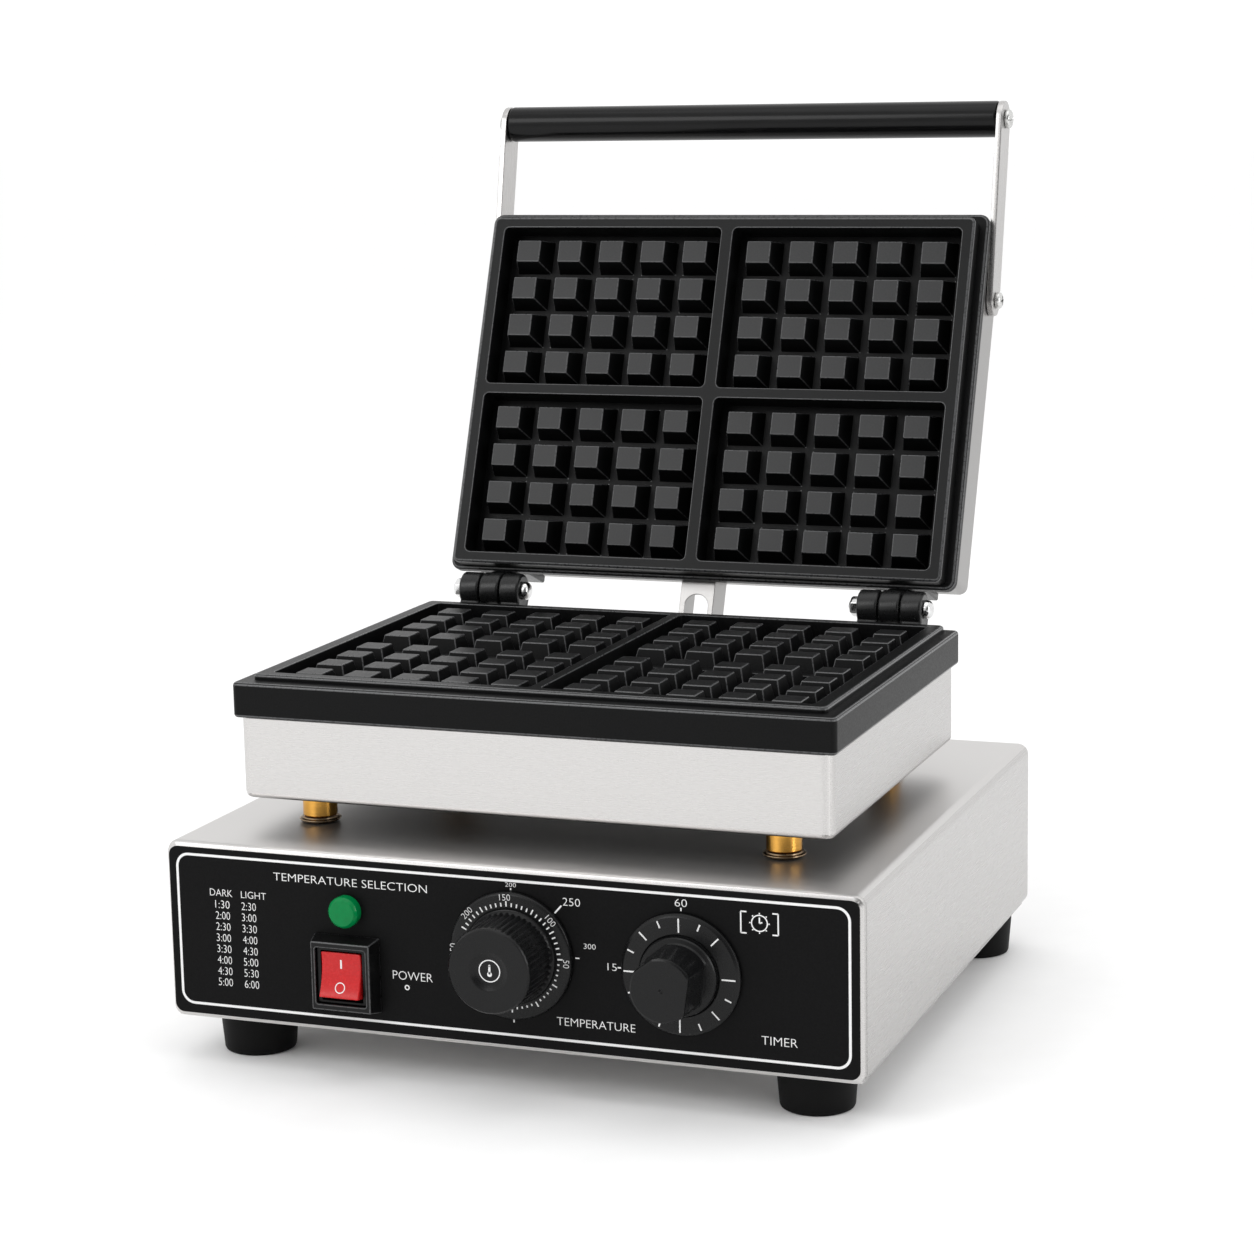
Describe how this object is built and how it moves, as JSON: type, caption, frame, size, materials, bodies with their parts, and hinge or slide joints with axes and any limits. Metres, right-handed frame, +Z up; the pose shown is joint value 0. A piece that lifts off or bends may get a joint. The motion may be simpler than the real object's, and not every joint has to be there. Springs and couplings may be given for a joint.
{
  "type": "waffle maker",
  "caption": "Box-shaped electric waffle maker: square studded plate pair, hinged upper half standing open, bar handle, rocker switch and two rotary dials on the front.",
  "frame": {"origin": "centre of the bounding box's bottom face, on the worktop under the feet, with the lid standing open", "axes": "+X to the machine's right as the user faces the control panel, +Y from the control panel to the back, +Z up"},
  "size_m": [0.31, 0.3709, 0.3982],
  "materials": {
    "brushed_steel": "horizontally brushed stainless sheet",
    "black_panel": "satin near-black printed panel",
    "foot_rubber": "matt black moulded rubber",
    "screw_steel": "plain machined steel",
    "bolt_chrome": "polished plated bolt",
    "spacer_brass": "turned brass, warm gold",
    "cast_plate": "cast plate with a satin black non-stick coating",
    "hinge_casting": "satin black painted casting",
    "element_sheath": "dark heated sheath",
    "insulation_board": "pale fibre board",
    "handle_black": "glossy black tube",
    "switch_black": "moulded black plastic",
    "rocker_red": "glossy red plastic",
    "lens_green": "clear green jewel",
    "knob_grey": "satin dark grey plastic"
  },
  "bodies": {
    "base": {"base_cover": "brushed_steel", "bottom_plate": "brushed_steel", "back_plate": "brushed_steel", "control_panel": "black_panel", "foot_front_left": "foot_rubber", "foot_front_right": "foot_rubber", "foot_rear_left": "foot_rubber", "foot_rear_right": "foot_rubber", "foot_screw_front_left": "screw_steel", "foot_screw_front_right": "screw_steel", "foot_screw_rear_left": "screw_steel", "foot_screw_rear_right": "screw_steel", "standoff_front_left": "spacer_brass", "standoff_front_right": "spacer_brass", "standoff_rear_left": "spacer_brass", "standoff_rear_right": "spacer_brass", "standoff_washer_front_left": "spacer_brass", "standoff_washer_front_right": "spacer_brass", "standoff_washer_rear_left": "spacer_brass", "standoff_washer_rear_right": "spacer_brass", "lower_housing": "brushed_steel", "lower_plate": "cast_plate", "lower_heating_element": "element_sheath", "thermostat_bulb": "element_sheath", "lower_insulation": "insulation_board", "hinge_lower_left": "hinge_casting", "hinge_bolt_left": "bolt_chrome", "hinge_nut_left": "bolt_chrome", "hinge_lower_right": "hinge_casting", "hinge_bolt_right": "bolt_chrome", "hinge_nut_right": "bolt_chrome", "switch_surround": "switch_black", "switch_body": "switch_black", "indicator_lens": "lens_green", "indicator_body": "switch_black", "thermostat_body": "switch_black", "timer_body": "switch_black", "cable_gland": "switch_black", "gland_nut": "screw_steel", "terminal_block": "switch_black"},
    "lid": {"upper_plate": "cast_plate", "upper_housing": "brushed_steel", "upper_heating_element": "element_sheath", "upper_insulation": "insulation_board", "handle_grip": "handle_black", "handle_rod": "screw_steel", "lid_stop_bracket": "brushed_steel", "handle_arm_left": "brushed_steel", "handle_end_screw_left": "screw_steel", "arm_screw_left": "screw_steel", "hinge_upper_left": "hinge_casting", "handle_arm_right": "brushed_steel", "handle_end_screw_right": "screw_steel", "arm_screw_right": "screw_steel", "hinge_upper_right": "hinge_casting"},
    "rocker": {"switch_rocker": "rocker_red"},
    "thermostat_dial": {"thermostat_knob": "knob_grey", "thermostat_spindle": "screw_steel"},
    "timer_dial": {"timer_knob": "knob_grey", "timer_spindle": "screw_steel"}
  },
  "joints": [
    {"name": "lid_hinge", "type": "hinge", "parent": "base", "child": "lid", "pos_m": [0, 0.0767, 0.168], "axis": [1, 0, 0], "range_deg": [0, 111.8]},
    {"name": "switch_rock", "type": "hinge", "parent": "base", "child": "rocker", "pos_m": [-0.0698, -0.1628, 0.0463], "axis": [1, 0, 0], "range_deg": [0, 20]},
    {"name": "thermostat_turn", "type": "hinge", "parent": "base", "child": "thermostat_dial", "pos_m": [0.005, -0.17, 0.0606], "axis": [0, 1, 0], "range_deg": [-110, 160]},
    {"name": "timer_turn", "type": "hinge", "parent": "base", "child": "timer_dial", "pos_m": [0.0788, -0.17, 0.0592], "axis": [0, 1, 0], "range_deg": [0, 300]}
  ]
}
